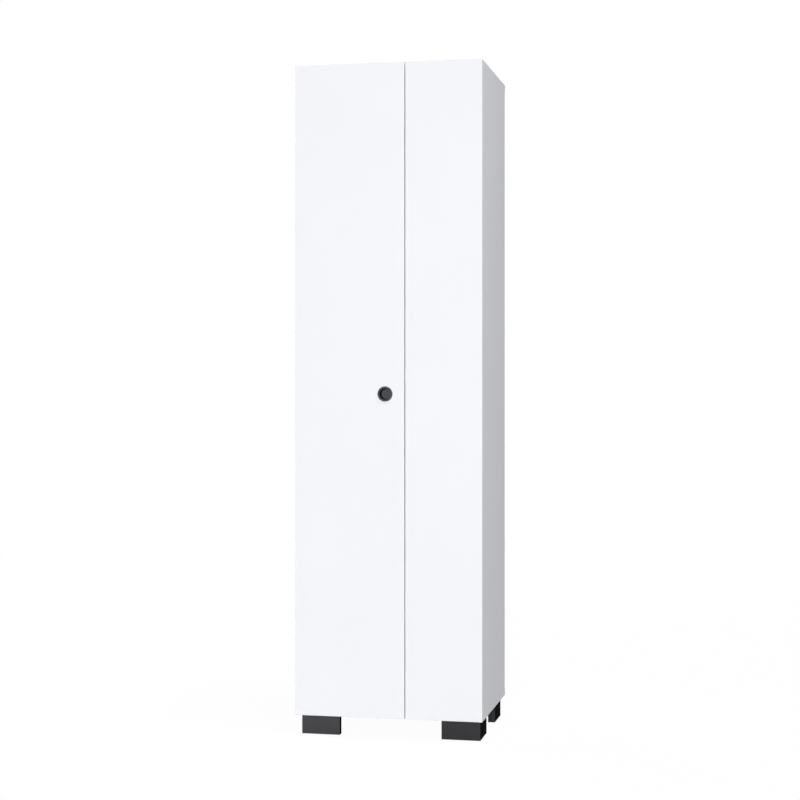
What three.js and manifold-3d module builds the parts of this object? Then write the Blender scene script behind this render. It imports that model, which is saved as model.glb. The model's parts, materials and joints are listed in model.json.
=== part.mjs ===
// A two-door broom cupboard: a wide bay for brooms, a narrow bay with shelves, four L-shaped feet.
// Millimetres, +Z up. The front faces -Y, and +X is on the right of someone who stands before it.
// The origin lies on the floor, in the middle of the footprint.

import * as THREE from "three";
import { mergeVertices } from "three/addons/utils/BufferGeometryUtils.js";
import Module from "manifold-3d";

const wasm = await Module();
wasm.setup();

// Carcass
const cabinetWidth = 500;
const panelHeight = 1715; // underside of the bottom board to the upper face of the top board
const sideDepth = 380;
const boardThickness = 16;
const rearLip = 6; // how far the top and bottom boards reach past the sides at the back
const backThickness = 3;
const backInset = 1; // from the outer faces of the sides to the edges of the back panel
const hairline = 0.1; // between faces that are pressed together

// Doors
const doorThickness = 16;
const doorGap = 2.5; // between the carcass and the back of a closed door
const leftDoorWidth = 294.5;
const seamWidth = 2.5;

// Shelves
const hatSpaceHeight = 300; // the space above the shelf in the broom bay
const fixedShelfSetback = 3; // from the front of the carcass
const looseShelfSetback = 20;
const looseShelfRearGap = 2; // to the back panel
const looseShelfEndGap = 1; // to the boards at its ends

// Shelf supports: a peg in the board under a small wedge that carries the shelf
const pegRadius = 2.5;
const pegLength = 9;
const pegHoleClearance = 0.15;
const pegHoleDepth = 10;
const wedgeReach = 10;
const wedgeHeight = 10;
const wedgeWidth = 8;
const wedgeLedge = 2; // thickness of the wedge's front edge
const holePitch = 32;
const holeSetback = 37; // first and last column of holes, from the front and rear of a board
const holesAround = 2; // holes above and below the one in use

// Cam locks: a round cam in the face of an upright, and the bolt that it pulls
const camRadius = 7.5;
const camLength = 12;
const camClearance = 0.2;
const camEndDistance = 34; // from the end of the upright to the cam
const camSetback = 60; // from the front and rear edges of the upright
const boltRadius = 3;
const boltReach = 11; // into the top or bottom board
const slotLength = 9;
const slotWidth = 1.4;
const slotDepth = 1.5;

// Feet
const footHeight = 55;
const footArm = 103;
const footThickness = 19;
const footSideInset = 10; // from the sides' outer faces
const footSetback = 14; // from the front and rear edges of the sides

// Finger pull
const pullFromEdge = 51.5; // from the left door's free edge to the pull's centre
const pullBelowMiddle = 9;
const pullFlangeRadius = 20;
const pullFlangeThickness = 1.5;
const pullFlangeRounding = 0.5;
const pullBodyRadius = 17.5;
const pullMouthRadius = 14.8;
const pullFloorRadius = 14.4; // the recess narrows a little towards its floor
const pullCornerRadius = 2; // between the recess's wall and its floor
const pullFloorThickness = 1.5;
const pullClearance = 0.2;

// Hinges: the cup in the door, the arm with its pivot pin, the plate on the side
const hingeEndDistance = 90; // upper and lower hinges, from the ends of the door
const middleHingeRise = 80; // above the middle of the door, clear of the fixed shelf
const pivotInset = 6.5; // from the side's outer face
const pivotReach = 12; // in front of the carcass
const pivotRadius = 1.2;
const pivotLength = 12.4;
const cupRadius = 17.5;
const cupDepth = 12;
const cupWall = 0.8;
const cupEdgeDistance = 3; // from the door's hinge edge to the cup
const cupClearance = 0.2;
const rimWidth = 1; // of the cup's rim over the edge of its bore
const rimThickness = 1;
const earSpan = 60; // height of the plate with the two screws, ear to ear
const earWidth = 13;
const earOffset = 9.5; // from the cup's centre to the line of the two screws
const earScrewSpacing = 48;
const earScrewRadius = 3.5;
const earScrewHeight = 0.7;
const armSheet = 1.6;
const armStand = 10; // from the side's inner face to the underside of the arm
const armWidth = 18;
const neckWidth = 9;
const armStart = 4; // behind the front of the carcass, where the arm widens
const armEnd = 62;
const plateThickness = 2;
const plateHeight = 44;
const plateDepth = 18;
const ridgeStart = 12;
const ridgeEnd = 58;
const hingeClearance = 0.3;

// Door bumpers
const bumperRadius = 4;
const bumperFromEdge = 24; // from the door's free edge

// Fineness of round pieces
const cupSides = 32;
const pullSides = 48;
const pullCornerSteps = 3;
const camSides = 12;
const pegSides = 8;
const overrun = 1; // how far a cutting shape passes the face that it cuts
const weldDistance = 0.001;

// Values worked out from those above
const doorBack = -doorGap;
const doorFront = doorBack - doorThickness;
const sideHeight = panelHeight - 2 * (boardThickness + hairline);
const sideBottom = boardThickness + hairline;
const sideTop = sideBottom + sideHeight;
const rightDoorWidth = cabinetWidth - leftDoorWidth - seamWidth;
const dividerMiddle = leftDoorWidth + seamWidth / 2;
const dividerLeft = dividerMiddle - boardThickness / 2;
const dividerRight = dividerMiddle + boardThickness / 2;
const rightSideInner = cabinetWidth - boardThickness;
const cupCentre = cupEdgeDistance + cupRadius;
const armUnderside = boardThickness + armStand;
const armTop = armUnderside + armSheet;
const frontmost = doorFront - pullFlangeThickness;
const rearmost = sideDepth + rearLip;
const carcassFront = -(frontmost + rearmost) / 2;

const hingeHeights = {
  top: panelHeight - hingeEndDistance,
  middle: panelHeight / 2 + middleHingeRise,
  bottom: hingeEndDistance,
};

// The narrow bay has four equal spaces; the shelf between the second and third is fixed.
const narrowBaySpaces = 4;
const bayHeight = panelHeight - 2 * boardThickness;
const spaceHeight = (bayHeight - (narrowBaySpaces - 1) * boardThickness) / narrowBaySpaces;
const shelfUnderside = (number) =>
  boardThickness + number * spaceHeight + (number - 1) * boardThickness;
const looseShelves = { lower: shelfUnderside(1), upper: shelfUnderside(3) };
const pegDrop = hairline + wedgeHeight / 2; // from a shelf's underside to its pegs
const holeColumns = { front: holeSetback, rear: sideDepth - holeSetback };
const camColumns = { front: camSetback, rear: sideDepth - camSetback };

const whiteBoard = new THREE.MeshStandardMaterial({ color: 0xf4f5f8, roughness: 0.45, metalness: 0 });
const whiteSheet = new THREE.MeshStandardMaterial({ color: 0xe9eaec, roughness: 0.6, metalness: 0 });
const anthracite = new THREE.MeshStandardMaterial({ color: 0x303135, roughness: 0.55, metalness: 0 });
const nickel = new THREE.MeshStandardMaterial({ color: 0xb9bcc0, roughness: 0.3, metalness: 1 });
const zinc = new THREE.MeshStandardMaterial({ color: 0x9a9da1, roughness: 0.45, metalness: 1 });
const clearSilicone = new THREE.MeshStandardMaterial({ color: 0xdfe3e6, roughness: 0.35, metalness: 0 });

// A closed geometry as a solid that can be joined and cut.
function solidOf(geometry) {
  const bare = geometry.clone();
  bare.deleteAttribute("normal");
  bare.deleteAttribute("uv");
  const merged = mergeVertices(bare, weldDistance);
  const corners = merged.index.array;
  const kept = [];
  for (let i = 0; i < corners.length; i += 3) {
    const [a, b, c] = corners.slice(i, i + 3);
    if (a !== b && b !== c && c !== a) kept.push(a, b, c);
  }
  const mesh = new wasm.Mesh({
    numProp: 3,
    vertProperties: merged.attributes.position.array,
    triVerts: new Uint32Array(kept),
  });
  return new wasm.Manifold(mesh);
}

function geometryOf(solid) {
  const mesh = solid.getMesh();
  const geometry = new THREE.BufferGeometry();
  geometry.setAttribute("position", new THREE.BufferAttribute(mesh.vertProperties, mesh.numProp));
  geometry.setIndex(new THREE.BufferAttribute(mesh.triVerts, 1));
  const flat = geometry.toNonIndexed();
  flat.computeVertexNormals();
  return flat;
}

function join(...geometries) {
  return geometryOf(geometries.map(solidOf).reduce((whole, piece) => whole.add(piece)));
}

function cut(geometry, ...cutters) {
  return geometryOf(cutters.map(solidOf).reduce((whole, piece) => whole.subtract(piece), solidOf(geometry)));
}

// A block between two values along each axis.
function block([x0, x1], [y0, y1], [z0, z1]) {
  const geometry = new THREE.BoxGeometry(x1 - x0, y1 - y0, z1 - z0);
  return geometry.translate((x0 + x1) / 2, (y0 + y1) / 2, (z0 + z1) / 2);
}

const around = (middle, size) => [middle - size / 2, middle + size / 2];

// Round rods along X, Y and Z, between two values along that axis.
function rodAlongX(radius, [x0, x1], y, z, sides) {
  const geometry = new THREE.CylinderGeometry(radius, radius, x1 - x0, sides);
  return geometry.rotateZ(Math.PI / 2).translate((x0 + x1) / 2, y, z);
}

function rodAlongY(radius, x, [y0, y1], z, sides) {
  const geometry = new THREE.CylinderGeometry(radius, radius, y1 - y0, sides);
  return geometry.translate(x, (y0 + y1) / 2, z);
}

function rodAlongZ(radius, x, y, [z0, z1], sides) {
  const geometry = new THREE.CylinderGeometry(radius, radius, z1 - z0, sides);
  return geometry.rotateX(Math.PI / 2).translate(x, y, (z0 + z1) / 2);
}

function addPiece(parent, name, geometry, material, x = 0, y = 0, z = 0) {
  const mesh = new THREE.Mesh(geometry, material);
  mesh.name = name;
  mesh.position.set(x, y, z);
  parent.add(mesh);
  return mesh;
}

// Inside a group for one hand, x runs inward from that side's outer face.
function addHand(parent, hand) {
  const group = new THREE.Group();
  const sign = hand === "left" ? 1 : -1;
  group.position.x = (-sign * cabinetWidth) / 2;
  group.scale.x = sign;
  parent.add(group);
  return group;
}

// Holes and pockets in the uprights

function pegHoles(faceX, boreX) {
  const holes = [];
  for (const underside of Object.values(looseShelves)) {
    for (const y of Object.values(holeColumns)) {
      for (let step = -holesAround; step <= holesAround; step++) {
        const z = underside - pegDrop + step * holePitch;
        const span = [Math.min(faceX, boreX), Math.max(faceX, boreX)];
        holes.push(rodAlongX(pegRadius + pegHoleClearance, span, y, z, pegSides));
      }
    }
  }
  return holes;
}

// The cams lie in the face at x = boardThickness of an upright that starts at x = 0.
function camPockets() {
  const pockets = [];
  for (const y of Object.values(camColumns)) {
    for (const end of ["bottom", "top"]) {
      const z = end === "bottom" ? sideBottom + camEndDistance : sideTop - camEndDistance;
      const edge = end === "bottom" ? sideBottom - overrun : sideTop + overrun;
      const pocket = [boardThickness - camLength - camClearance, boardThickness + overrun];
      const bore = [Math.min(z, edge), Math.max(z, edge)];
      pockets.push(rodAlongX(camRadius + camClearance, pocket, y, z, camSides));
      pockets.push(rodAlongZ(boltRadius + camClearance, boardThickness / 2, y, bore, camSides));
    }
  }
  return pockets;
}

// Carcass boards

function uprightGeometry(holes) {
  const board = block([0, boardThickness], [0, sideDepth], [sideBottom, sideTop]);
  return cut(board, ...camPockets(), ...holes);
}

// A top or bottom board, with the bores for the bolts in the face that looks at the uprights.
function endBoardGeometry(end) {
  const board = block(around(0, cabinetWidth), [0, sideDepth + rearLip], [0, boardThickness]);
  const mouth = end === "bottom" ? boardThickness : 0;
  const inward = end === "bottom" ? -1 : 1;
  const depth = boltReach + camClearance;
  const bores = [];
  for (const x of uprightMiddles()) {
    for (const y of Object.values(camColumns)) {
      const ends = [mouth + inward * depth, mouth - inward * overrun];
      const span = [Math.min(...ends), Math.max(...ends)];
      bores.push(rodAlongZ(boltRadius + camClearance, x, y, span, camSides));
    }
  }
  return cut(board, ...bores);
}

function uprightMiddles() {
  const middle = cabinetWidth / 2 - boardThickness / 2;
  return [-middle, dividerMiddle - cabinetWidth / 2, middle];
}

function addBoards(carcass, hands) {
  addPiece(carcass, "bottom_board", endBoardGeometry("bottom"), whiteBoard);
  const topZ = panelHeight - boardThickness;
  addPiece(carcass, "top_board", endBoardGeometry("top"), whiteBoard, 0, 0, topZ);
  addPiece(hands.left, "left_side", uprightGeometry([]), whiteBoard);
  const inFace = [boardThickness + overrun, boardThickness - pegHoleDepth];
  addPiece(hands.right, "right_side", uprightGeometry(pegHoles(...inFace)), whiteBoard);
  addPiece(hands.left, "divider", uprightGeometry(pegHoles(...inFace)), whiteBoard, dividerLeft);
  const across = around(0, cabinetWidth - 2 * backInset);
  const through = [sideDepth + hairline, sideDepth + hairline + backThickness];
  addPiece(carcass, "back_panel", block(across, through, [sideBottom, sideTop]), whiteSheet);
}

// Cam locks: the cam and its bolt are one piece. The cam's slotted face is flush with the upright.

function camLockGeometry(end) {
  const down = end === "bottom" ? -1 : 1;
  const cam = rodAlongX(camRadius, [boardThickness - camLength, boardThickness], 0, 0, camSides);
  const tip = down * (camEndDistance + hairline + boltReach);
  const bolt = rodAlongZ(boltRadius, boardThickness / 2, 0, [Math.min(0, tip), Math.max(0, tip)], camSides);
  const face = [boardThickness - slotDepth, boardThickness + overrun];
  const upright = block(face, around(0, slotWidth), around(0, slotLength));
  const level = block(face, around(0, slotLength), around(0, slotWidth));
  return cut(join(cam, bolt), upright, level);
}

function addCamLocks(group, name, left) {
  for (const end of ["bottom", "top"]) {
    const z = end === "bottom" ? sideBottom + camEndDistance : sideTop - camEndDistance;
    for (const [column, y] of Object.entries(camColumns)) {
      addPiece(group, `${name}_cam_lock_${end}_${column}`, camLockGeometry(end), zinc, left, y, z);
    }
  }
}

// Shelves and their supports

function shelfGeometry(from, to, setback, rearGap) {
  return block([from, to], [setback, sideDepth - rearGap], [0, boardThickness]);
}

// The peg points along -X into the board, and the wedge carries the shelf on its level top.
function supportGeometry() {
  const outline = new THREE.Shape();
  outline.moveTo(0, -wedgeHeight);
  outline.lineTo(wedgeLedge, -wedgeHeight);
  outline.lineTo(wedgeReach, -wedgeLedge);
  outline.lineTo(wedgeReach, 0);
  outline.lineTo(0, 0);
  const wedge = new THREE.ExtrudeGeometry(outline, { depth: wedgeWidth, bevelEnabled: false });
  wedge.rotateX(Math.PI / 2).translate(0, wedgeWidth / 2, 0);
  const peg = rodAlongX(pegRadius, [-pegLength, wedgeLedge / 2], 0, -wedgeHeight / 2, pegSides);
  return join(wedge, peg);
}

function addShelves(carcass, hands) {
  const left = -cabinetWidth / 2;
  const hatZ = panelHeight - boardThickness - hatSpaceHeight - boardThickness;
  const hatFrom = left + boardThickness + hairline;
  const hat = shelfGeometry(hatFrom, left + dividerLeft - hairline, fixedShelfSetback, 0);
  addPiece(carcass, "hat_shelf", hat, whiteBoard, 0, 0, hatZ);
  const fixedTo = left + rightSideInner - hairline;
  const fixed = shelfGeometry(left + dividerRight + hairline, fixedTo, fixedShelfSetback, 0);
  addPiece(carcass, "fixed_shelf", fixed, whiteBoard, 0, 0, shelfUnderside(2));
  const from = left + dividerRight + looseShelfEndGap;
  const to = left + rightSideInner - looseShelfEndGap;
  for (const [level, underside] of Object.entries(looseShelves)) {
    const loose = shelfGeometry(from, to, looseShelfSetback, looseShelfRearGap);
    addPiece(carcass, `${level}_shelf`, loose, whiteBoard, 0, 0, underside);
    addSupports(hands.left, `${level}_shelf_support_left`, dividerRight, 1, underside);
    addSupports(hands.right, `${level}_shelf_support_right`, boardThickness, 1, underside);
  }
}

function addSupports(group, name, faceX, inward, underside) {
  for (const [column, y] of Object.entries(holeColumns)) {
    const x = faceX + inward * hairline;
    addPiece(group, `${name}_${column}`, supportGeometry(), zinc, x, y, underside - hairline);
  }
}

// Feet: each is an L with its corner outward, built for the front left corner

function footGeometry() {
  const outline = new THREE.Shape();
  outline.moveTo(0, 0);
  outline.lineTo(footArm, 0);
  outline.lineTo(footArm, footThickness);
  outline.lineTo(footThickness, footThickness);
  outline.lineTo(footThickness, footArm);
  outline.lineTo(0, footArm);
  return new THREE.ExtrudeGeometry(outline, { depth: footHeight - hairline, bevelEnabled: false });
}

function addFeet(carcass) {
  for (const [depthName, back] of [["front", 1], ["rear", -1]]) {
    for (const [sideName, across] of [["left", 1], ["right", -1]]) {
      const corner = new THREE.Group();
      const x = -across * (cabinetWidth / 2 - footSideInset);
      const y = back === 1 ? footSetback : sideDepth - footSetback;
      corner.position.set(x, y, -footHeight);
      corner.scale.set(across, back, 1);
      carcass.add(corner);
      addPiece(corner, `foot_${depthName}_${sideName}`, footGeometry(), anthracite);
    }
  }
}

// Doors, built from the hinge edge at x = 0 towards the free edge

function cupBores() {
  const depth = cupDepth + cupClearance;
  return Object.values(hingeHeights).map((z) =>
    rodAlongY(cupRadius + cupClearance, cupCentre, [doorBack - depth, doorBack + overrun], z, cupSides),
  );
}

function doorGeometry(width, otherBores) {
  const panel = block([0, width], [doorFront, doorBack], [0, panelHeight]);
  return cut(panel, ...cupBores(), ...otherBores);
}

// The pull is a flanged cup, turned about its own axis; its mouth looks to -Y.
function pullGeometry() {
  const front = pullFlangeThickness;
  const floor = pullFloorThickness - doorThickness;
  const corner = [];
  for (let step = 0; step <= pullCornerSteps; step++) {
    const angle = (step * Math.PI) / (2 * pullCornerSteps);
    const radius = pullFloorRadius - pullCornerRadius * (1 - Math.cos(angle));
    corner.push([radius, floor + pullCornerRadius * (1 - Math.sin(angle))]);
  }
  const profile = [
    [0, -doorThickness],
    [pullBodyRadius - pullClearance, -doorThickness],
    [pullBodyRadius - pullClearance, hairline],
    [pullFlangeRadius, hairline],
    [pullFlangeRadius, front - pullFlangeRounding],
    [pullFlangeRadius - pullFlangeRounding, front],
    [pullMouthRadius + pullFlangeRounding, front],
    [pullMouthRadius, front - pullFlangeRounding],
    ...corner,
    [0, floor],
  ];
  const points = profile.map(([radius, height]) => new THREE.Vector2(radius, height));
  return new THREE.LatheGeometry(points, pullSides).rotateX(Math.PI);
}

function addDoor(group, hand, width, otherBores) {
  addPiece(group, `${hand}_door`, doorGeometry(width, otherBores), whiteBoard);
  for (const [level, z] of Object.entries(hingeHeights)) {
    addPiece(group, `${hand}_hinge_cup_${level}`, cupGeometry(), nickel, cupCentre, doorBack, z);
  }
  const bumperThickness = doorGap - hairline - hingeClearance;
  for (const [level, z] of [
    ["bottom", boardThickness / 2],
    ["top", panelHeight - boardThickness / 2],
  ]) {
    const span = [doorBack + hairline, doorBack + hairline + bumperThickness];
    const bumper = rodAlongY(bumperRadius, 0, span, 0, camSides);
    addPiece(group, `${hand}_door_bumper_${level}`, bumper, clearSilicone, width - bumperFromEdge, 0, z);
  }
}

// Hinges

// The cup: y = 0 is the back of the door, and the cup goes down along -Y.
function cupGeometry() {
  const inner = cupRadius - cupWall;
  const profile = [
    [0, -cupDepth],
    [cupRadius, -cupDepth],
    [cupRadius, hairline],
    [cupRadius + rimWidth, hairline],
    [cupRadius + rimWidth, hairline + rimThickness],
    [inner, hairline + rimThickness],
    [inner, cupWall - cupDepth],
    [0, cupWall - cupDepth],
  ];
  const points = profile.map(([radius, height]) => new THREE.Vector2(radius, height));
  const cup = new THREE.LatheGeometry(points, cupSides);
  const through = [hairline, hairline + rimThickness];
  const ears = block(around(earOffset, earWidth), through, around(0, earSpan));
  const mouth = rodAlongY(inner, 0, [-hairline, rimThickness + hairline + overrun], 0, cupSides);
  const plate = cut(ears, mouth);
  const head = [hairline, hairline + rimThickness + earScrewHeight];
  const screws = [-1, 1].map((side) =>
    rodAlongY(earScrewRadius, earOffset, head, (side * earScrewSpacing) / 2, camSides),
  );
  return join(cup, plate, ...screws);
}

// The arm: x runs inward from the side's outer face, y = 0 is the front of the carcass.
function armGeometry() {
  const wide = around(0, armWidth);
  const narrow = around(0, neckWidth);
  const web = block([armUnderside, armTop], [armStart, armEnd], wide);
  const foot = boardThickness + plateThickness + hairline + hingeClearance;
  const flanges = [-1, 1].map((side) => {
    const span = around((side * (armWidth - armSheet)) / 2, armSheet);
    return block([foot, armTop], [armStart, armEnd], span);
  });
  const pivotLevel = around(-pivotReach, armSheet);
  const neck = block([armUnderside, armTop], [pivotLevel[0], armStart + armSheet], narrow);
  const tongue = block([pivotInset, armTop], pivotLevel, narrow);
  const pin = rodAlongZ(pivotRadius, pivotInset, -pivotReach, around(0, pivotLength), pegSides);
  return join(web, ...flanges, neck, tongue, pin);
}

// The plate: a base on the side's inner face and a ridge inside the arm.
function hingePlateGeometry() {
  const start = boardThickness + hairline;
  const base = block(
    [start, start + plateThickness],
    around(holeSetback, plateDepth),
    around(0, plateHeight),
  );
  const ridgeWidth = armWidth - 2 * (armSheet + hingeClearance);
  const ridge = block([start, armUnderside - hingeClearance], [ridgeStart, ridgeEnd], around(0, ridgeWidth));
  return join(base, ridge);
}

function addHingeMounts(group, hand) {
  for (const [level, z] of Object.entries(hingeHeights)) {
    addPiece(group, `${hand}_hinge_plate_${level}`, hingePlateGeometry(), nickel, 0, 0, z);
    addPiece(group, `${hand}_hinge_arm_${level}`, armGeometry(), nickel, 0, 0, z);
  }
}

// Assembly

const cupboard = new THREE.Group();
const carcass = new THREE.Group();
carcass.position.set(0, carcassFront, footHeight);
cupboard.add(carcass);
const hands = { left: addHand(carcass, "left"), right: addHand(carcass, "right") };

addBoards(carcass, hands);
addCamLocks(hands.left, "left_side", 0);
addCamLocks(hands.right, "right_side", 0);
addCamLocks(hands.left, "divider", dividerLeft);
addShelves(carcass, hands);
addFeet(carcass);
addHingeMounts(hands.left, "left");
addHingeMounts(hands.right, "right");

const pullX = leftDoorWidth - pullFromEdge;
const pullZ = panelHeight / 2 - pullBelowMiddle;
const pullSpan = [doorFront - overrun, doorBack + overrun];
const pullBore = rodAlongY(pullBodyRadius, pullX, pullSpan, pullZ, pullSides);
addDoor(hands.left, "left", leftDoorWidth, [pullBore]);
addDoor(hands.right, "right", rightDoorWidth, []);
addPiece(hands.left, "finger_pull", pullGeometry(), anthracite, pullX, doorFront, pullZ);

export default cupboard;
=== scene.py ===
# The look of a white two-door broom cupboard: board finishes, plastic, plated steel, small fittings
# and a pale studio. Metres and +Z up, in the frame's place; the doors face -Y. Sizes of things that
# can be held in a hand are written in millimetres, and MM turns them into metres.

import json
import math

import bmesh
import bpy
from mathutils import Matrix, Vector

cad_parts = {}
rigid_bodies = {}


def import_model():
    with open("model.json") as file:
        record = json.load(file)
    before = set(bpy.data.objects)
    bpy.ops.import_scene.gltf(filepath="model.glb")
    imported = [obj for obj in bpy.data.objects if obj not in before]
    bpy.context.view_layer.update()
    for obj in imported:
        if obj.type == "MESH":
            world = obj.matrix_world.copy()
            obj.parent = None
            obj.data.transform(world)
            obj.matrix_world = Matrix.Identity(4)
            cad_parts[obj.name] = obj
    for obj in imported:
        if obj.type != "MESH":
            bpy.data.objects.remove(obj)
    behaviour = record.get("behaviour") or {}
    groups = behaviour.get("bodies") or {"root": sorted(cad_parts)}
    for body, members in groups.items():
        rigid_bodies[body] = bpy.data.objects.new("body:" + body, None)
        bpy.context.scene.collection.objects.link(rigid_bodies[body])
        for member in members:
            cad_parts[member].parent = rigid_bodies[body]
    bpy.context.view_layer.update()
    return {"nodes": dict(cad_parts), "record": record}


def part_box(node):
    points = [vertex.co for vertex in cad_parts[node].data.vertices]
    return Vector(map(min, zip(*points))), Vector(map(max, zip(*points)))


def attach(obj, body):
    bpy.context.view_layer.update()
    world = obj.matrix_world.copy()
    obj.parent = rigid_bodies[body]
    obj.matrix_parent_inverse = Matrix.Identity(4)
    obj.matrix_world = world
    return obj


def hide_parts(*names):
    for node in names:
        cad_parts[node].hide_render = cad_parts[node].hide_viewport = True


for left_over in list(bpy.data.objects):
    bpy.data.objects.remove(left_over)

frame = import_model()

MM = 0.001
NODES = frame["nodes"]
INWARD = {"left": 1, "right": -1}  # along X, from each side's outer face into the cupboard
LEVELS = ("top", "middle", "bottom")
ENDS = ("top", "bottom")
UP = Vector((0, 0, 1))
TO_FRONT = Vector((0, -1, 0))
TO_BACK = Vector((0, 1, 0))
SEAT = 0.1  # between faces that press on each other


# Colours and nodes


def linear(colour):
    """A colour written as sRGB hex, as the linear values that a shader takes."""
    channels = [int(colour[i : i + 2], 16) / 255 for i in (0, 2, 4)]
    return [c / 12.92 if c <= 0.04045 else ((c + 0.055) / 1.055) ** 2.4 for c in channels] + [1.0]


def per_metre(size):
    """The scale of a pattern that repeats every size millimetres."""
    return 1 / (size * MM)


def add_node(tree, kind, inputs=None, **settings):
    """Adds a node. An input, by name or number, gets a value, an output or a node's first output."""
    node = tree.nodes.new("ShaderNode" + kind)
    for name, value in settings.items():
        setattr(node, name, value)
    for key, value in (inputs or {}).items():
        in_use = [socket for socket in node.inputs if socket.enabled]
        socket = in_use[key] if isinstance(key, int) else next(s for s in in_use if s.name == key)
        if isinstance(value, bpy.types.Node):
            value = next(output for output in value.outputs if output.enabled)
        if isinstance(value, bpy.types.NodeSocket):
            tree.links.new(value, socket)
        else:
            socket.default_value = value
    return node


def start_material(name):
    """A material, its tree, and the place on the piece at rest, so that patterns move with it."""
    material = bpy.data.materials.new(name)
    material.use_nodes = True
    tree = material.node_tree
    tree.nodes.clear()
    return material, tree, add_node(tree, "TexCoord").outputs["Object"]


# Finishes. The sizes of their patterns are millimetres.

EDGE_BAND = 1.0
GLUE_LINE = 0.3
BORE_START = 1.2  # what lies this deep under every outer face is the wall of a bore
MELAMINE_CLOUDS = 260
PEARL = 2.4  # drawn coarser than the real one, which no render shows
PEARL_DEPTH = 0.2
CHIP = 1.6
LACQUER_DEPTH = 0.2
FIBRE = 5
FIBRE_CLOUDS = 180
ORANGE_PEEL = 4
PEEL_DEPTH = 0.2
FLOW_MARKS = 45
FOOT_GRAIN = 1.2  # both grains are drawn coarser than the real ones, which no render shows
PULL_GRAIN = 0.8
GRAIN_DEPTH = 0.15
ROLLING_LINES = 0.8  # drawn coarser than the real ones, which no render shows
ROLLING_DEPTH = 0.05
ROLLING_STRETCH = 0.08  # a line's width as a share of its length
ZINC_MARKS = 6
CASTING_DEPTH = 0.1
PLATING_MARKS = 3
SILICONE_HAZE = 3


def melamine_board(name, low, high):
    """White melamine on chipboard, pressed against a finely pearled plate: satin, and faintly cloudy.
    Its edges carry a plastic band behind a hair of glue, and a bore shows the raw chips."""
    material, tree, place = start_material(name)
    # How far under the nearest edge and the nearest face a point lies
    above = add_node(tree, "VectorMath", {0: place, 1: low}, operation="SUBTRACT")
    below = add_node(tree, "VectorMath", {0: high, 1: place}, operation="SUBTRACT")
    nearest = add_node(tree, "VectorMath", {0: above, 1: below}, operation="MINIMUM")
    depths = add_node(tree, "SeparateXYZ", {0: nearest}).outputs
    thin = min(range(3), key=lambda axis: high[axis] - low[axis])
    first, second = [depths[axis] for axis in range(3) if axis != thin]
    to_edge = add_node(tree, "Math", {0: first, 1: second}, operation="MINIMUM")
    to_face = add_node(tree, "Math", {0: to_edge, 1: depths[thin]}, operation="MINIMUM")
    in_bore = add_node(tree, "Math", {0: to_face, 1: BORE_START * MM}, operation="GREATER_THAN")

    # White with the glue line of the edge band
    past_band = add_node(tree, "Math", {0: to_edge, 1: EDGE_BAND * MM}, operation="SUBTRACT")
    off_line = add_node(tree, "Math", {0: past_band}, operation="ABSOLUTE")
    fade = {"Value": off_line, "From Max": GLUE_LINE * MM, "To Min": 0.3, "To Max": 0.0}
    glue = add_node(tree, "MapRange", fade)
    clouds = add_node(tree, "TexNoise", {"Vector": place, "Scale": per_metre(MELAMINE_CLOUDS)})
    whites = {"Factor": clouds, "A": linear("F4F5F8"), "B": linear("F8F9FA")}
    white = add_node(tree, "Mix", whites, data_type="RGBA")
    glued = {"Factor": glue, "A": white, "B": linear("CFD1D4")}
    face = add_node(tree, "Mix", glued, data_type="RGBA")

    # Raw chips in the bores
    cells = add_node(tree, "TexVoronoi", {"Vector": place, "Scale": per_metre(CHIP)})
    tone = add_node(tree, "SeparateColor", {0: cells.outputs["Color"]})
    chips = {"Factor": tone, "A": linear("8E6F48"), "B": linear("D2B68C")}
    raw = add_node(tree, "Mix", chips, data_type="RGBA")
    colour = add_node(tree, "Mix", {"Factor": in_bore, "A": face, "B": raw}, data_type="RGBA")

    # The plate's pearl, and no gloss in the bores
    pearl = add_node(tree, "TexNoise", {"Vector": place, "Scale": per_metre(PEARL), "Detail": 3.0})
    satin = add_node(tree, "MapRange", {"Value": pearl, "To Min": 0.45, "To Max": 0.55})
    rough = add_node(tree, "Math", {0: satin, 1: in_bore}, operation="MAXIMUM")
    bump = add_node(tree, "Bump", {"Height": pearl, "Distance": PEARL_DEPTH * MM, "Strength": 0.06})
    look = {"Base Color": colour, "Roughness": rough, "Normal": bump, "IOR": 1.5}
    add_node(tree, "OutputMaterial", {"Surface": add_node(tree, "BsdfPrincipled", look)})
    return material


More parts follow.
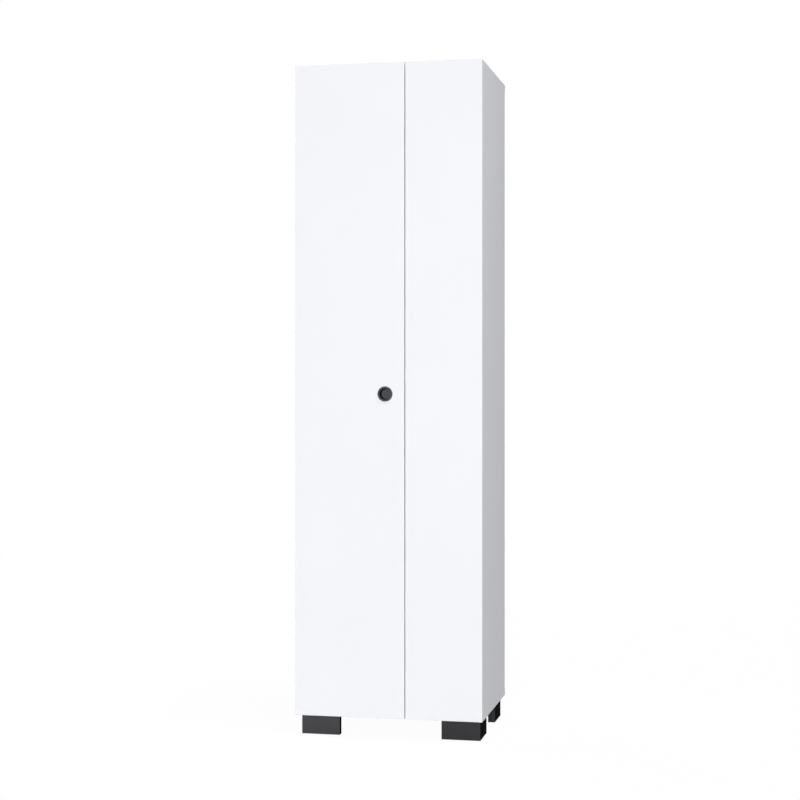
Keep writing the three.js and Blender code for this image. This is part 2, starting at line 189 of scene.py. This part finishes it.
def lacquered_fibreboard(low):
    """Thin hard fibreboard: white lacquer with a slight orange peel on the face that looks into the
    cupboard, bare brown board with short fibres behind it and at its edges."""
    material, tree, place = start_material("lacquered_fibreboard")
    depth = add_node(tree, "SeparateXYZ", {0: place}).outputs["Y"]
    face = low[1] + LACQUER_DEPTH * MM
    bare = add_node(tree, "Math", {0: depth, 1: face}, operation="GREATER_THAN")
    felt = {"Vector": place, "Scale": per_metre(FIBRE), "Detail": 8.0, "Roughness": 0.7}
    fibres = add_node(tree, "TexNoise", felt)
    shades = {"Vector": place, "Scale": per_metre(FIBRE_CLOUDS), "Detail": 3.0}
    clouds = add_node(tree, "TexNoise", shades)
    mixed = add_node(tree, "Mix", {"Factor": 0.5, "A": fibres, "B": clouds})
    spread = add_node(tree, "MapRange", {"Value": mixed, "From Min": 0.35, "From Max": 0.65})
    browns = {"Factor": spread, "A": linear("8A6440"), "B": linear("B58E66")}
    brown = add_node(tree, "Mix", browns, data_type="RGBA")
    sides = {"Factor": bare, "A": linear("F1F2F3"), "B": brown}
    colour = add_node(tree, "Mix", sides, data_type="RGBA")
    peel = add_node(tree, "TexNoise", {"Vector": place, "Scale": per_metre(ORANGE_PEEL)})
    bump = add_node(tree, "Bump", {"Height": peel, "Distance": PEEL_DEPTH * MM, "Strength": 0.15})
    rough = add_node(tree, "MapRange", {"Value": bare, "To Min": 0.35, "To Max": 0.62})
    look = {"Base Color": colour, "Roughness": rough, "Normal": bump}
    add_node(tree, "OutputMaterial", {"Surface": add_node(tree, "BsdfPrincipled", look)})
    return material


def spark_eroded_plastic(name, dark, light, end, grain):
    """Polypropylene moulded in a spark-eroded tool: anthracite, dull, with an even fine grain that
    takes all gloss off it, and faint marks where the melt flowed. The faces that look along X take
    the end grey, which is painted shade that darkens those sides."""
    material, tree, place = start_material(name)
    melt = {"Vector": place, "Scale": per_metre(FLOW_MARKS), "Detail": 3.0}
    flow = add_node(tree, "TexNoise", melt)
    greys = {"Factor": flow, "A": linear(dark), "B": linear(light)}
    grained = add_node(tree, "Mix", greys, data_type="RGBA")
    # the faces that look along X take the end grey: painted shade on those sides
    turned_to = add_node(tree, "TexCoord").outputs["Normal"]
    along = add_node(tree, "SeparateXYZ", {0: turned_to}).outputs["X"]
    shaded_side = add_node(tree, "Math", {0: along}, operation="ABSOLUTE")
    ends = {"Factor": shaded_side, "A": grained, "B": linear(end)}
    colour = add_node(tree, "Mix", ends, data_type="RGBA")
    pits = add_node(tree, "TexNoise", {"Vector": place, "Scale": per_metre(grain), "Detail": 4.0})
    bump = add_node(tree, "Bump", {"Height": pits, "Distance": GRAIN_DEPTH * MM, "Strength": 0.35})
    rough = add_node(tree, "MapRange", {"Value": pits, "To Min": 0.6, "To Max": 0.75})
    look = {"Base Color": colour, "Roughness": rough, "Normal": bump, "IOR": 1.49}
    look["Specular IOR Level"] = 0.0  # with any gloss, its sides would mirror the white room
    add_node(tree, "OutputMaterial", {"Surface": add_node(tree, "BsdfPrincipled", look)})
    return material


def painted_shade_recess_wall():
    """The same plastic on the wall of the pull's recess: smooth, with a trace of gloss, and almost
    black, which is painted shade for the shadow inside the recess."""
    material, tree, place = start_material("painted_shade_recess_wall")
    flow = add_node(tree, "TexNoise", {"Vector": place, "Scale": per_metre(FLOW_MARKS)})
    # almost black greys: painted shadow of the recess
    recess_shade_tones = {"Factor": flow, "A": linear("0C0C0D"), "B": linear("131314")}
    colour = add_node(tree, "Mix", recess_shade_tones, data_type="RGBA")
    look = {"Base Color": colour, "Roughness": 0.5, "IOR": 1.49, "Specular IOR Level": 0.1}
    add_node(tree, "OutputMaterial", {"Surface": add_node(tree, "BsdfPrincipled", look)})
    return material


def nickel_plated_steel():
    """Pressed steel strip under bright nickel: the rolling lines show faintly in its gloss."""
    material, tree, place = start_material("nickel_plated_steel")
    drawn = add_node(tree, "Mapping", {"Vector": place, "Scale": (1.0, ROLLING_STRETCH, 1.0)})
    strip = {"Vector": drawn, "Scale": per_metre(ROLLING_LINES), "Detail": 3.0}
    lines = add_node(tree, "TexNoise", strip)
    tones = {"Factor": lines, "A": linear("C6C5C2"), "B": linear("D6D5D2")}
    colour = add_node(tree, "Mix", tones, data_type="RGBA")
    rough = add_node(tree, "MapRange", {"Value": lines, "To Min": 0.2, "To Max": 0.3})
    bump = add_node(tree, "Bump", {"Height": lines, "Distance": ROLLING_DEPTH * MM, "Strength": 0.08})
    look = {"Base Color": colour, "Roughness": rough, "Normal": bump, "Metallic": 1.0}
    add_node(tree, "OutputMaterial", {"Surface": add_node(tree, "BsdfPrincipled", look)})
    return material


def die_cast_zinc():
    """Zinc as it leaves the casting tool: grey and half dull, with cloudy flow marks."""
    material, tree, place = start_material("die_cast_zinc")
    flow = {"Vector": place, "Scale": per_metre(ZINC_MARKS), "Detail": 5.0}
    marks = add_node(tree, "TexNoise", flow)
    tones = {"Factor": marks, "A": linear("878A8E"), "B": linear("B8BBBF")}
    colour = add_node(tree, "Mix", tones, data_type="RGBA")
    rough = add_node(tree, "MapRange", {"Value": marks, "To Min": 0.32, "To Max": 0.55})
    bump = add_node(tree, "Bump", {"Height": marks, "Distance": CASTING_DEPTH * MM, "Strength": 0.25})
    look = {"Base Color": colour, "Roughness": rough, "Normal": bump, "Metallic": 1.0}
    add_node(tree, "OutputMaterial", {"Surface": add_node(tree, "BsdfPrincipled", look)})
    return material


def zinc_plated_steel():
    """Cold-headed steel, zinc plated in a barrel: bluish bright, a little dull where heads rubbed."""
    material, tree, place = start_material("zinc_plated_steel")
    barrel = {"Vector": place, "Scale": per_metre(PLATING_MARKS), "Detail": 3.0}
    rubs = add_node(tree, "TexNoise", barrel)
    tones = {"Factor": rubs, "A": linear("A9ADB3"), "B": linear("CFD3D9")}
    colour = add_node(tree, "Mix", tones, data_type="RGBA")
    rough = add_node(tree, "MapRange", {"Value": rubs, "To Min": 0.2, "To Max": 0.4})
    look = {"Base Color": colour, "Roughness": rough, "Metallic": 1.0}
    add_node(tree, "OutputMaterial", {"Surface": add_node(tree, "BsdfPrincipled", look)})
    return material


def clear_silicone():
    """A soft clear silicone dot: hazy inside, and tacky enough to have no hard gloss."""
    material, tree, place = start_material("clear_silicone")
    haze = add_node(tree, "TexNoise", {"Vector": place, "Scale": per_metre(SILICONE_HAZE)})
    tones = {"Factor": haze, "A": linear("E2E5E7"), "B": linear("F4F6F7")}
    colour = add_node(tree, "Mix", tones, data_type="RGBA")
    look = {"Base Color": colour, "Roughness": 0.35, "IOR": 1.41, "Transmission Weight": 0.5}
    add_node(tree, "OutputMaterial", {"Surface": add_node(tree, "BsdfPrincipled", look)})
    return material


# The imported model's own nodes

SHARP = math.radians(35)  # an edge that turns by less is a step of a round form
FLAT = math.radians(0.5)  # faces that turn by less become one
WELD_REACH = 0.01
BOARD_EDGE = 0.35  # how far edges are rounded, as in the next four lines
SHEET_EDGE = 0.2
FOOT_EDGE = 0.15
STEEL_EDGE = 0.5
ZINC_EDGE = 0.2
BOARDS = [row["node"] for row in frame["record"]["subparts"] if row["material_slot"] == "white_board"]
# Each foot's dark and light grey, and its end grey, painted shade on its faces that look along X. The
# front left foot is drawn lighter than the rest, with the darkest end grey
FOOT_GREYS = {
    "foot_front_left": ("4B4B4D", "505052", "111112"),
    "foot_front_right": ("3F3F41", "434345", "29292A"),
    "foot_rear_left": ("424244", "464648", "29292A"),
    "foot_rear_right": ("424244", "464648", "29292A"),
}


def dress(node, material, edge, turns=2):
    """Gives a node its finish, and rounds its sharp edges by edge millimetres in that many turns."""
    piece = NODES[node]
    mesh = piece.data
    # Stored shading would hide the rounded edges
    for shading in ("custom_normal", "sharp_edge", "sharp_face"):
        if shading in mesh.attributes:
            mesh.attributes.remove(mesh.attributes[shading])
    mesh.materials.clear()
    mesh.materials.append(material)
    mesh.polygons.foreach_set("use_smooth", [True] * len(mesh.polygons))
    weld = piece.modifiers.new("weld", "WELD")
    weld.merge_threshold = WELD_REACH * MM
    flat = piece.modifiers.new("flat_faces", "DECIMATE")
    flat.decimate_type = "DISSOLVE"
    flat.angle_limit = FLAT
    bevel = piece.modifiers.new("edges", "BEVEL")
    bevel.width = edge * MM
    bevel.segments = turns
    bevel.limit_method = "ANGLE"
    bevel.angle_limit = SHARP
    bevel.harden_normals = True


def dress_nodes(nickel):
    """Finishes every node that shows. Pieces of this script replace the others."""
    for board in BOARDS:
        dress(board, melamine_board("white_melamine_" + board, *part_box(board)), BOARD_EDGE)
    dress("back_panel", lacquered_fibreboard(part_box("back_panel")[0]), SHEET_EDGE, 1)
    for foot, greys in FOOT_GREYS.items():
        dress(foot, spark_eroded_plastic("anthracite_" + foot, *greys, FOOT_GRAIN), FOOT_EDGE)
    zinc = die_cast_zinc()
    for name in NODES:
        if "hinge_arm" in name or "hinge_plate" in name:
            dress(name, nickel, STEEL_EDGE)
        elif "cam_lock" in name or "shelf_support" in name:
            dress(name, zinc, ZINC_EDGE)


# Mesh tools. Sizes go in as millimetres, and meshes come out in metres.

SLIVER = 0.005  # a cut leaves faces thinner than this, which are closed up
CUT_MARGIN = 0.1  # how far a cutter stands past the face it opens


def turned(profile, sides):
    """A closed body turned about Z, from (radius, height) points that start and end on the axis."""
    body = bmesh.new()
    rings = []
    for radius, height in profile:
        angles = [2 * math.pi * i / sides for i in range(sides if radius else 1)]
        points = [Vector((radius * math.cos(a), radius * math.sin(a), height)) for a in angles]
        rings.append([body.verts.new(point * MM) for point in points])
    for lower, upper in zip(rings, rings[1:]):
        for i in range(sides):
            j = (i + 1) % sides
            around = ((lower, i), (lower, j), (upper, j), (upper, i))
            corners = [ring[k % len(ring)] for ring, k in around]
            body.faces.new(dict.fromkeys(corners))  # a point on the axis counts once
    return mesh_of(body)


def lofted(rings):
    """A closed body through rings with the same number of points, capped at both ends."""
    body = bmesh.new()
    loops = [[body.verts.new(Vector(point) * MM) for point in ring] for ring in rings]
    for lower, upper in zip(loops, loops[1:]):
        for i in range(len(lower)):
            j = (i + 1) % len(lower)
            body.faces.new((lower[i], lower[j], upper[j], upper[i]))
    body.faces.new(loops[0])
    body.faces.new(loops[-1])
    return mesh_of(body)


def mesh_of(body):
    """A mesh from a body, with every face turned outward."""
    bmesh.ops.recalc_face_normals(body, faces=body.faces)
    mesh = bpy.data.meshes.new("mesh")
    body.to_mesh(mesh)
    body.free()
    return mesh


def arc(centre, radius, start, end, steps=4):
    """Points of a rounded corner, from one angle in degrees to another."""
    angles = [math.radians(start + (end - start) * i / steps) for i in range(steps + 1)]
    return [(centre[0] + radius * math.cos(a), centre[1] + radius * math.sin(a)) for a in angles]


def combined(mesh, other, operation):
    """One mesh from two, by union or difference."""
    scene = bpy.context.scene
    pair = [bpy.data.objects.new("part", data) for data in (mesh, other)]
    for part in pair:
        scene.collection.objects.link(part)
    boolean = pair[0].modifiers.new("boolean", "BOOLEAN")
    boolean.operation = operation
    boolean.object = pair[1]
    worked_out = pair[0].evaluated_get(bpy.context.evaluated_depsgraph_get())
    body = bmesh.new()
    body.from_mesh(bpy.data.meshes.new_from_object(worked_out))
    for part in pair:
        bpy.data.objects.remove(part)
    bmesh.ops.dissolve_degenerate(body, dist=SLIVER * MM, edges=body.edges)
    return mesh_of(body)


def gathered(mesh, places):
    """Copies of one mesh at several places, as one mesh."""
    body = bmesh.new()
    for place in places:
        copy = mesh.copy()
        copy.transform(place)
        body.from_mesh(copy)
    return mesh_of(body)


def standing(outward, sideways, origin):
    """The place of something built along +Z, turned so that +Z looks outward and +X sideways."""
    place = Matrix((sideways, outward.cross(sideways), outward)).transposed().to_4x4()
    place.translation = origin
    return place


def add_piece(name, mesh, material, place, body):
    """Puts a mesh into the scene as a piece that moves with a body of the frame."""
    mesh.name = name
    if not mesh.materials:
        mesh.materials.append(material)
    mesh.polygons.foreach_set("use_smooth", [True] * len(mesh.polygons))
    mesh.set_sharp_from_angle(angle=SHARP)
    piece = bpy.data.objects.new(name, mesh)
    piece.matrix_world = place
    bpy.context.scene.collection.objects.link(piece)
    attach(piece, body)
    return piece


# Finger pull

PULL_SIDES = 128
FLANGE_RADIUS = 20.0
FLANGE_RISE = 1.5
FLANGE_EDGE = 0.6
BODY_RADIUS = 17.3
BODY_DEPTH = 16.0
BODY_EDGE = 1.0
MOUTH_RADIUS = 14.8
FLOOR_RADIUS = 14.4
FLOOR_LEVEL = -14.5
FLOOR_FILLET = 2.0
WALL_MARGIN = 0.05


def pull_mesh():
    """A flanged cup. The recess's wall and the rounding at its floor take a second material, an
    almost black painted shade.
    """
    profile = [(0, -BODY_DEPTH)]
    profile += arc((BODY_RADIUS - BODY_EDGE, BODY_EDGE - BODY_DEPTH), BODY_EDGE, -90, 0)
    profile += [(BODY_RADIUS, SEAT), (FLANGE_RADIUS, SEAT)]
    profile += arc((FLANGE_RADIUS - FLANGE_EDGE, FLANGE_RISE - FLANGE_EDGE), FLANGE_EDGE, 0, 90)
    profile += arc((MOUTH_RADIUS + FLANGE_EDGE, FLANGE_RISE - FLANGE_EDGE), FLANGE_EDGE, 90, 180)
    profile += arc((FLOOR_RADIUS - FLOOR_FILLET, FLOOR_LEVEL + FLOOR_FILLET), FLOOR_FILLET, 0, -90)
    profile += [(0, FLOOR_LEVEL)]
    mesh = turned(profile, PULL_SIDES)
    for face in mesh.polygons:
        radius = face.center.xy.length / MM
        height = face.center.z / MM
        # the recess's wall and the rounding at its floor get the painted shade material
        in_recess_shade = FLOOR_RADIUS - FLOOR_FILLET < radius < MOUTH_RADIUS + WALL_MARGIN
        face.material_index = int(in_recess_shade and FLOOR_LEVEL < height)
    return mesh


def add_finger_pull():
    """Seats the pull on the left door's face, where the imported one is."""
    low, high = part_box("finger_pull")
    door_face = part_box("left_door")[0][1]
    centre = Vector(((low[0] + high[0]) / 2, door_face, (low[2] + high[2]) / 2))
    mesh = pull_mesh()
    grained = spark_eroded_plastic("anthracite_pull", "545557", "5B5C5E", "58595B", PULL_GRAIN)
    mesh.materials.append(grained)
    # the second material paints the shade inside the recess
    mesh.materials.append(painted_shade_recess_wall())
    place = standing(TO_FRONT, UP, centre)
    pull = add_piece("finger_pull_turned", mesh, None, place, "left_leaf")
    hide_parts("finger_pull")


# Screws and nails

SCREW_SIDES = 32
SCREW_RADIUS = 3.5
SCREW_RISE = 0.7
SCREW_EDGE = 0.4
STUB_LEVEL = -1.0  # a head goes this far into what it holds
RECESS_ARM = 2.1
RECESS_HALF_WIDTH = 0.45
RECESS_DEPTH = 0.9
NAIL_RADIUS = 2.0
NAIL_RISE = 0.4
NAIL_PITCH = 150.0
NAIL_END = 30.0


def cross_outline(arm, half, height):
    """The twelve corners of a cross."""
    quarter = [(arm, -half), (arm, half), (half, half)]
    turns = [Matrix.Rotation(math.radians(90 * i), 2) for i in range(4)]
    return [(*(turn @ Vector(corner)), height) for turn in turns for corner in quarter]


def screw_head():
    """A flat round head with a cross recess, and a stub that goes into what it holds."""
    profile = [(0, STUB_LEVEL), (SCREW_RADIUS, STUB_LEVEL)]
    profile += arc((SCREW_RADIUS - SCREW_EDGE, SCREW_RISE - SCREW_EDGE), SCREW_EDGE, 0, 80)
    profile += [(0, SCREW_RISE)]
    top = cross_outline(RECESS_ARM, RECESS_HALF_WIDTH, SCREW_RISE + CUT_MARGIN)
    bottom = cross_outline(RECESS_ARM / 2, RECESS_HALF_WIDTH / 2, SCREW_RISE - RECESS_DEPTH)
    return combined(turned(profile, SCREW_SIDES), lofted([bottom, top]), "DIFFERENCE")


def nail_head():
    """A flat head that thins out towards its edge."""
    profile = [(0, STUB_LEVEL), (NAIL_RADIUS, STUB_LEVEL), (NAIL_RADIUS, NAIL_RISE / 2)]
    profile += [(NAIL_RADIUS / 2, NAIL_RISE), (0, NAIL_RISE)]
    return turned(profile, SCREW_SIDES)


def add_back_nails(plated):
    """The back panel is nailed to the rear edges of the three uprights."""
    low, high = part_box("back_panel")
    lowest = low[2] + NAIL_END * MM
    row = high[2] - NAIL_END * MM - lowest
    steps = round(row / (NAIL_PITCH * MM))
    heights = [lowest + row * i / steps for i in range(steps + 1)]
    for upright in ("left_side", "divider", "right_side"):
        left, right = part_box(upright)
        x = (left[0] + right[0]) / 2
        places = [standing(TO_BACK, UP, Vector((x, high[1], z))) for z in heights]
        mesh = gathered(nail_head(), places)
        add_piece("nails_" + upright, mesh, plated, Matrix(), "carcass")


# Concealed hinges

CUP_SIDES = 64
CUP_RADIUS = 17.5
CUP_WALL = 0.8
CUP_DEPTH = 12.0
CUP_FILLET = 2.0
CUP_EDGE = 3.0  # from the door's hinge edge to the cup
RIM_RADIUS = 18.5
RIM_RISE = 1.1
RIM_EDGE = 0.4
MOUTH_CUT = 0.3  # the ears end this far behind the rim's inner face
MOUTH_CUT_LEVELS = (-1.0, 3.0)
EAR_OFFSET = 9.5
EAR_WIDTH = 13.0
EAR_SPAN = 60.0
EAR_CORNER = 5.0
EAR_SCREW_OFFSET = 24.0
ARM_SCREWS = (24.0, 50.0)  # behind the front of the carcass
PLATE_SCREW_SETBACK = 37.0
PLATE_SCREW_OFFSET = 16.0
PLATE_BASE = 2.0


def rounded_rectangle(middle, width, height, radius, level):
    """The outline of a plate that is centred on (middle, 0)."""
    outline = []
    for i, (along, up) in enumerate([(1, -1), (1, 1), (-1, 1), (-1, -1)]):
        centre = (middle + along * (width / 2 - radius), up * (height / 2 - radius))
        outline += arc(centre, radius, 90 * (i - 1), 90 * i, 6)
    return [(x, y, level) for x, y in outline]


def cup_mesh():
    """A drawn steel cup with a rolled rim and two ears."""
    inner = CUP_RADIUS - CUP_WALL
    bottom = CUP_WALL - CUP_DEPTH
    profile = [(0, -CUP_DEPTH)]
    profile += arc((CUP_RADIUS - CUP_FILLET, CUP_FILLET - CUP_DEPTH), CUP_FILLET, -90, 0)
    profile += [(CUP_RADIUS, SEAT), (RIM_RADIUS, SEAT)]
    profile += arc((RIM_RADIUS - RIM_EDGE, RIM_RISE - RIM_EDGE), RIM_EDGE, 0, 90)
    profile += arc((inner + RIM_EDGE, RIM_RISE - RIM_EDGE), RIM_EDGE, 90, 180)
    profile += arc((inner - CUP_FILLET, bottom + CUP_FILLET), CUP_FILLET, 0, -90)
    profile += [(0, bottom)]
    ear_sizes = (EAR_OFFSET, EAR_WIDTH, EAR_SPAN, EAR_CORNER)
    ears = lofted([rounded_rectangle(*ear_sizes, level) for level in (SEAT, RIM_RISE)])
    cut = inner + MOUTH_CUT
    below, above = MOUTH_CUT_LEVELS
    mouth = turned([(0, below), (cut, below), (cut, above), (0, above)], CUP_SIDES)
    plate = combined(ears, mouth, "DIFFERENCE")
    return combined(turned(profile, CUP_SIDES), plate, "UNION")


def add_hinges(nickel, plated):
    """Every door has a cup with two screws at each level, and the arms and plates get screws too."""
    cup = cup_mesh()
    head = screw_head()
    spots = [Vector((EAR_OFFSET, side * EAR_SCREW_OFFSET, RIM_RISE)) * MM for side in (-1, 1)]
    cup_screws = gathered(head, [Matrix.Translation(spot) for spot in spots])
    for hand, inward in INWARD.items():
        into = Vector((inward, 0, 0))
        door_low, door_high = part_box(hand + "_door")
        hinge_edge = door_low[0] if hand == "left" else door_high[0]
        centre_x = hinge_edge + inward * (CUP_EDGE + CUP_RADIUS) * MM
        for level in LEVELS:
            low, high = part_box(f"{hand}_hinge_arm_{level}")
            z = (low[2] + high[2]) / 2
            place = standing(TO_BACK, into, Vector((centre_x, door_high[1], z)))
            piece = add_piece(f"{hand}_cup_{level}", cup, nickel, place, hand + "_leaf")
            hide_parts(f"{hand}_hinge_cup_{level}")
            name = f"{hand}_cup_screws_{level}"
            add_piece(name, cup_screws, plated, place, hand + "_leaf")
            screws = gathered(head, mount_screw_places(hand, level, into, z))
            name = f"{hand}_hinge_screws_{level}"
            add_piece(name, screws, plated, Matrix(), "carcass")


def mount_screw_places(hand, level, into, z):
    """Two screws stand in the arm, and two hold its plate to the side."""
    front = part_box("left_side")[0][1]
    low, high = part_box(f"{hand}_hinge_arm_{level}")
    arm_face = high[0] if hand == "left" else low[0]
    low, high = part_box(f"{hand}_hinge_plate_{level}")
    plate_face = (low[0] if hand == "left" else high[0]) + into[0] * PLATE_BASE * MM
    spots = [(arm_face, setback, 0) for setback in ARM_SCREWS]
    spots += [(plate_face, PLATE_SCREW_SETBACK, side * PLATE_SCREW_OFFSET) for side in (-1, 1)]
    points = [Vector((x, front + y * MM, z + rise * MM)) for x, y, rise in spots]
    return [standing(into, UP, point) for point in points]


# Door bumpers

BUMPER_RADIUS = 4.0
BUMPER_RISE = 2.1
BUMPER_ROUNDING = 1.6


def add_bumpers():
    """A soft dot at the top and bottom of each door's free edge, which quietens its shutting."""
    silicone = clear_silicone()
    centre = (BUMPER_RADIUS - BUMPER_ROUNDING, BUMPER_RISE - BUMPER_ROUNDING)
    profile = [(0, 0), (BUMPER_RADIUS, 0)] + arc(centre, BUMPER_ROUNDING, 0, 90)
    dot = turned(profile + [(0, BUMPER_RISE)], SCREW_SIDES)
    for hand in INWARD:
        for end in ENDS:
            node = f"{hand}_door_bumper_{end}"
            low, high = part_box(node)
            centre = Vector(((low[0] + high[0]) / 2, low[1], (low[2] + high[2]) / 2))
            place = standing(TO_BACK, UP, centre)
            name = f"{hand}_bumper_{end}"
            piece = add_piece(name, dot, silicone, place, hand + "_leaf")
            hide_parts(node)


# Studio

FLOOR_REACH = 5.0
SHADOW_REACH = 1.0  # from here outward the floor fades into the white of the room
WHITE_SHARE = 0.97  # of the floor that the lens sees, so that its shadow stays faint
AMBIENT = 0.17
MIDDLE = (0.0, 0.0, 0.9)
BELOW_AND_LEFT = (-10.0, 0.0, -3.5)  # a lamp that looks past the cupboard lights its doors evenly
FRONT_RIGHT = (1.7, -3.3, 2.2)  # one that looks past its front leaves its side darker at the back
# Each lamp's place, what it looks at, its width in metres and its power in watts
SOFTBOXES = {
    "front_softbox": ((1.3, -9.9, 1.6), BELOW_AND_LEFT, 3.2, 826.0),
    "ceiling_softbox": ((1.5, -1.3, 9.5), MIDDLE, 1.8, 460.0),
    "side_softbox": ((3.0, -0.6, 1.9), FRONT_RIGHT, 1.2, 25.5),
    "rear_softbox": ((-4.0, 3.2, 3.0), MIDDLE, 2.4, 120.0),
}
CAMERA_PLACE = (0.9487, -4.5401, 0.9282)
CAMERA_YAW = 11.918
FOCAL_LENGTH = 76.45
SENSOR_WIDTH = 36.0
HORIZON_SHIFT = -0.0193


def seen_directly(tree):
    """1 where the lens, a mirror or glass looks, and 0 where light only bounces."""
    rays = add_node(tree, "LightPath").outputs
    looks = {0: rays["Is Camera Ray"], 1: rays["Is Glossy Ray"]}
    seen = add_node(tree, "Math", looks, operation="MAXIMUM")
    return add_node(tree, "Math", {0: seen, 1: rays["Is Transmission Ray"]}, operation="MAXIMUM")


def studio_paper():
    """A white paper sweep, which shows white and throws back a soft grey light."""
    material, tree, place = start_material("studio_paper")
    seen = seen_directly(tree)
    tones = {"Factor": seen, "A": linear("A8A8A8"), "B": linear("FFFFFF")}
    tone = add_node(tree, "Mix", tones, data_type="RGBA")
    paper = add_node(tree, "BsdfDiffuse", {"Color": tone})
    white = add_node(tree, "Emission", {"Color": linear("FFFFFF"), "Strength": 1.0})
    away = add_node(tree, "VectorMath", {0: place}, operation="LENGTH").outputs["Value"]
    fading = {"Value": away, "From Min": SHADOW_REACH, "From Max": FLOOR_REACH, "To Min": WHITE_SHARE}
    white_share = add_node(tree, "MapRange", fading)
    share = add_node(tree, "Math", {0: seen, 1: white_share}, operation="MULTIPLY")
    mixed = add_node(tree, "MixShader", {0: share, 1: paper, 2: white})
    add_node(tree, "OutputMaterial", {"Surface": mixed})
    return material


def add_floor():
    """A plain square of paper under the cupboard."""
    mesh = bpy.data.meshes.new("floor")
    corners = ((-1, -1), (1, -1), (1, 1), (-1, 1))
    points = [(x * FLOOR_REACH, y * FLOOR_REACH, 0.0) for x, y in corners]
    mesh.from_pydata(points, [], [(0, 1, 2, 3)])
    mesh.materials.append(studio_paper())
    floor = bpy.data.objects.new("floor", mesh)
    bpy.context.scene.collection.objects.link(floor)


def add_room_light():
    """An even, slightly cool light from all round, in front of which everything shows white."""
    world = bpy.data.worlds.new("studio_room")
    bpy.context.scene.world = world
    world.use_nodes = True
    tree = world.node_tree
    tree.nodes.clear()
    seen = seen_directly(tree)
    strength = add_node(tree, "MapRange", {"Value": seen, "To Min": AMBIENT, "To Max": 1.0})
    tones = {"Factor": seen, "A": linear("F0F2FF"), "B": linear("FFFFFF")}
    tone = add_node(tree, "Mix", tones, data_type="RGBA")
    room = add_node(tree, "Background", {"Color": tone, "Strength": strength})
    add_node(tree, "OutputWorld", {"Surface": room})


def add_softbox(name, place, aim, size, power):
    """A square lamp that looks at one point."""
    lamp = bpy.data.lights.new(name, "AREA")
    lamp.shape = "SQUARE"
    lamp.size = size
    lamp.energy = power
    holder = bpy.data.objects.new(name, lamp)
    holder.location = place
    holder.rotation_mode = "QUATERNION"
    holder.rotation_quaternion = (Vector(aim) - Vector(place)).to_track_quat("-Z", "Y")
    bpy.context.scene.collection.objects.link(holder)


def add_camera():
    """The photograph's view: level, from the cupboard's right, at about half its height."""
    lens = bpy.data.cameras.new("camera")
    lens.lens = FOCAL_LENGTH
    lens.sensor_width = SENSOR_WIDTH
    lens.shift_y = HORIZON_SHIFT
    camera = bpy.data.objects.new("camera", lens)
    camera.location = CAMERA_PLACE
    camera.rotation_euler = (math.radians(90), 0.0, math.radians(CAMERA_YAW))
    bpy.context.scene.collection.objects.link(camera)
    bpy.context.scene.camera = camera


# Assembly

nickel = nickel_plated_steel()
plated = zinc_plated_steel()
dress_nodes(nickel)
add_finger_pull()
add_hinges(nickel, plated)
add_bumpers()
add_back_nails(plated)

add_floor()
add_room_light()
for lamp, settings in SOFTBOXES.items():
    add_softbox(lamp, *settings)
add_camera()
bpy.context.scene.view_settings.view_transform = "Standard"
